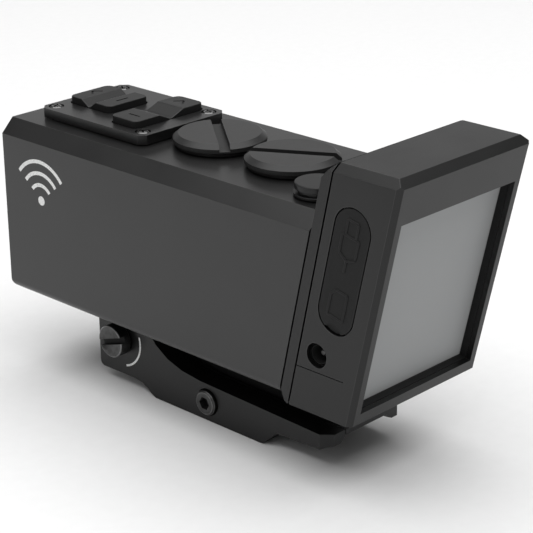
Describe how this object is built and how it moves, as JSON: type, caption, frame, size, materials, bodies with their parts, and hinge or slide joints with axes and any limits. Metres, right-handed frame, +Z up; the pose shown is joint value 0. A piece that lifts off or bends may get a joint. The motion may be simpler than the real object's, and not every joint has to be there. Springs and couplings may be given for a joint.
{
  "type": "speed radar gun",
  "caption": "Compact rail-mounted speed radar: box housing with two rocker keys, coin-slot battery caps and a power button, a leaning rear display head and a screw-clamped rail mount.",
  "frame": {"origin": "on the plane that the clamp feet stand on, under the middle of the bounding box", "axes": "+Y from the display towards the measured vehicle, +X to the unit's right, +Z up"},
  "size_m": [0.05, 0.1458, 0.0884],
  "materials": {
    "anodised_body": "satin black anodised, fine bead blast",
    "anodised_trim": "satin black anodised, slightly darker trim",
    "port_rubber": "matt black moulded rubber",
    "seal_rubber": "matt black sealing rubber",
    "black_plastic": "matt black moulded plastic",
    "display_glass": "clear hard cover glass over a pale unlit screen",
    "black_screw_steel": "dark phosphated steel, bare on the slot edges",
    "bright_steel": "bright zinc-plated or stainless steel",
    "circuit_board": "green solder mask",
    "battery_sleeve": "plain shrink sleeve"
  },
  "bodies": {
    "unit": {"camera_module": "black_plastic", "camera_window": "display_glass", "card_socket": "bright_steel", "dc_jack": "black_plastic", "dc_jack_pin": "bright_steel", "display_board": "circuit_board", "display_head": "anodised_body", "display_window": "display_glass", "flange_gasket": "seal_rubber", "flange_screw_1": "black_screw_steel", "flange_screw_2": "black_screw_steel", "flange_screw_3": "black_screw_steel", "flange_screw_4": "black_screw_steel", "front_battery": "battery_sleeve", "front_battery_spring": "bright_steel", "front_battery_tube": "anodised_trim", "front_cover": "anodised_trim", "front_gasket": "seal_rubber", "front_rocker_pin": "bright_steel", "head_gasket": "seal_rubber", "housing": "anodised_body", "keypad_board": "circuit_board", "keypad_plate": "anodised_body", "keypad_screw_1": "bright_steel", "keypad_screw_2": "bright_steel", "keypad_screw_3": "bright_steel", "keypad_screw_4": "bright_steel", "lcd_panel": "black_plastic", "main_board": "circuit_board", "memory_card": "black_plastic", "mount_base": "anodised_body", "mount_screw_1": "black_screw_steel", "mount_screw_2": "black_screw_steel", "mount_screw_3": "black_screw_steel", "port_panel": "anodised_body", "power_button_collar": "anodised_trim", "power_button_spring": "bright_steel", "power_switch": "black_plastic", "radar_antenna": "circuit_board", "radar_transceiver": "bright_steel", "radome": "black_plastic", "rear_battery": "battery_sleeve", "rear_battery_spring": "bright_steel", "rear_battery_tube": "anodised_trim", "rear_flange": "anodised_body", "rear_rocker_pin": "bright_steel", "usb_socket": "bright_steel", "window_mask": "black_plastic"},
    "front_rocker": {"front_rocker_key": "anodised_trim"},
    "rear_rocker": {"rear_rocker_key": "anodised_trim"},
    "power_button": {"power_button": "anodised_trim"},
    "front_cap_lifter": {"front_cap_seal": "seal_rubber"},
    "front_cap": {"front_battery_cap": "anodised_body"},
    "rear_cap_lifter": {"rear_cap_seal": "seal_rubber"},
    "rear_cap": {"rear_battery_cap": "anodised_body"},
    "port_flap": {"port_cover": "port_rubber"},
    "clamp_jaw": {"clamp_jaw": "anodised_body"},
    "clamp_screw": {"clamp_screw": "black_screw_steel"},
    "cross_screw": {"cross_screw": "black_screw_steel"}
  },
  "joints": [
    {"name": "front_rocker_tilt", "type": "hinge", "parent": "unit", "child": "front_rocker", "pos_m": [0, 0.05537, 0.0753], "axis": [1, 0, 0], "range_deg": [-3.5, 3.5], "stiffness_Nm_per_rad": 0.3},
    {"name": "rear_rocker_tilt", "type": "hinge", "parent": "unit", "child": "rear_rocker", "pos_m": [0.00055, 0.03585, 0.0753], "axis": [0, 1, 0], "range_deg": [-3.5, 3.5], "stiffness_Nm_per_rad": 0.3},
    {"name": "power_button_press", "type": "slide", "parent": "unit", "child": "power_button", "axis": [0, 0, -1], "range_m": [0, 0.0007], "stiffness_N_per_m": 3000, "deforming": ["power_button_spring"]},
    {"name": "front_cap_lift", "type": "slide", "parent": "unit", "child": "front_cap_lifter", "axis": [0, 0, 1], "range_m": [0, 0.003]},
    {"name": "front_cap_turn", "type": "hinge", "parent": "front_cap_lifter", "child": "front_cap", "pos_m": [0, 0.0108, 0.07515], "axis": [0, 0, 1], "range_deg": [0, 720]},
    {"name": "rear_cap_lift", "type": "slide", "parent": "unit", "child": "rear_cap_lifter", "axis": [0, 0, 1], "range_m": [0, 0.003]},
    {"name": "rear_cap_turn", "type": "hinge", "parent": "rear_cap_lifter", "child": "rear_cap", "pos_m": [0, -0.01595, 0.07515], "axis": [0, 0, 1], "range_deg": [0, 720]},
    {"name": "port_flap_swing", "type": "hinge", "parent": "unit", "child": "port_flap", "pos_m": [-0.02498, -0.05962, 0.07848], "axis": [0, 0.9748, 0.2233], "range_deg": [0, 100]},
    {"name": "clamp_jaw_slide", "type": "slide", "parent": "unit", "child": "clamp_jaw", "axis": [-1, 0, 0], "range_m": [0, 0.0024]},
    {"name": "clamp_screw_turn", "type": "hinge", "parent": "clamp_jaw", "child": "clamp_screw", "pos_m": [-0.0155, 0.0372, 0.01435], "axis": [-1, 0, 0], "range_deg": [0, 1082]},
    {"name": "cross_screw_turn", "type": "hinge", "parent": "clamp_jaw", "child": "cross_screw", "pos_m": [-0.0155, 0.0022, 0.00555], "axis": [-1, 0, 0], "range_deg": [0, 1237]}
  ],
  "couplings": [
    {"joint": "front_cap_lift", "follows": "front_cap_turn", "m_per_rad": 0.0002387},
    {"joint": "rear_cap_lift", "follows": "rear_cap_turn", "m_per_rad": 0.0002387},
    {"joint": "clamp_screw_turn", "follows": "clamp_jaw_slide", "rad_per_m": 7854},
    {"joint": "cross_screw_turn", "follows": "clamp_jaw_slide", "rad_per_m": 8976}
  ]
}
